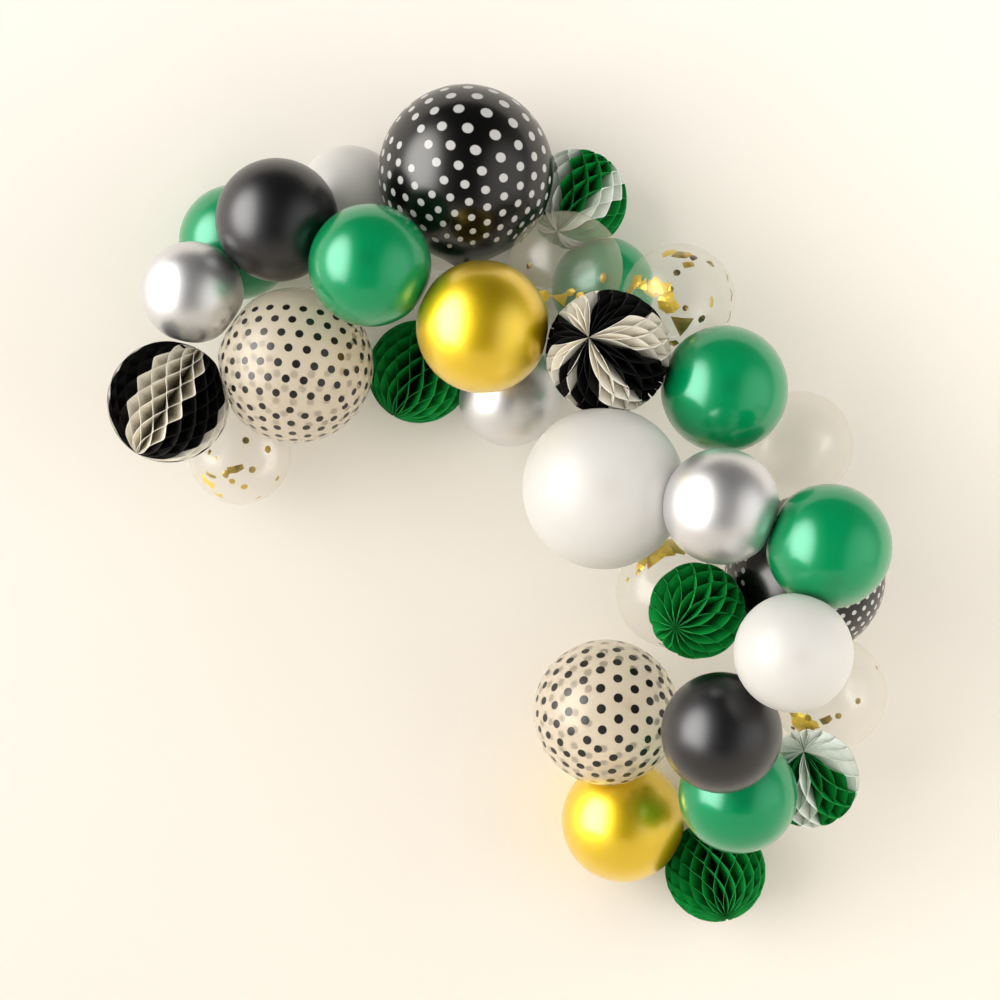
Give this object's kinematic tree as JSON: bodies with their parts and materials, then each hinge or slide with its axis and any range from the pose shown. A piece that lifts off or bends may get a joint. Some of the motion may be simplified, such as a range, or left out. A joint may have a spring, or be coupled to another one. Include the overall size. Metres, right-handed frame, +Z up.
{
  "type": "balloon garland",
  "caption": "One-sided arch garland of latex balloons, some dotted, chrome or clear with confetti, and tissue honeycomb balls, on a clear strip that fixes to a wall.",
  "frame": {"origin": "on the flat back of the decorating strip, on its centre line at the top of the arch", "axes": "+X across the wall to the right as seen from the room, +Y from the room into the wall, +Z up"},
  "size_m": [1.5959, 0.765, 1.7225],
  "materials": {
    "pearl_green": "green latex with a pearly sheen",
    "pearl_white": "white latex with a pearly sheen",
    "pearl_black": "black latex with a pearly sheen",
    "dotted_black": "glossy black latex printed with white dots",
    "dotted_clear": "clear latex printed with black dots",
    "clear_latex": "clear latex",
    "confetti_latex": "clear latex with gold foil confetti inside",
    "chrome_silver": "silver latex with a mirror-like metallic sheen",
    "chrome_gold": "gold latex with a mirror-like metallic sheen",
    "tissue_green": "green tissue honeycomb",
    "tissue_green_white": "green, white and black tissue honeycomb",
    "tissue_black_cream": "black and cream tissue honeycomb in sectors",
    "strip_plastic": "clear plastic tape"
  },
  "bodies": {
    "root": {"green_balloon_top_left": "pearl_green", "black_balloon_top": "pearl_black", "silver_balloon_left": "chrome_silver", "confetti_balloon_left": "confetti_latex", "dotted_clear_balloon_left": "dotted_clear", "white_balloon_behind": "pearl_white", "green_balloon_top": "pearl_green", "dotted_black_balloon_top": "dotted_black", "gold_balloon_top": "chrome_gold", "silver_balloon_middle": "chrome_silver", "clear_balloon_top": "clear_latex", "green_balloon_behind": "pearl_green", "confetti_balloon_top_right": "confetti_latex", "green_balloon_right_upper": "pearl_green", "white_balloon_large": "pearl_white", "silver_balloon_right": "chrome_silver", "clear_balloon_right": "clear_latex", "green_balloon_right": "pearl_green", "dotted_black_balloon_right": "dotted_black", "confetti_balloon_middle": "confetti_latex", "white_balloon_right": "pearl_white", "confetti_balloon_low_right": "confetti_latex", "dotted_clear_balloon_low": "dotted_clear", "black_balloon_low": "pearl_black", "gold_balloon_low": "chrome_gold", "green_balloon_low": "pearl_green", "honeycomb_left_end": "tissue_black_cream", "honeycomb_green_left": "tissue_green", "honeycomb_top": "tissue_green_white", "honeycomb_pinwheel": "tissue_black_cream", "honeycomb_green_right": "tissue_green", "honeycomb_low_right": "tissue_green_white", "honeycomb_green_bottom": "tissue_green", "decorating_strip": "strip_plastic"}
  },
  "joints": []
}
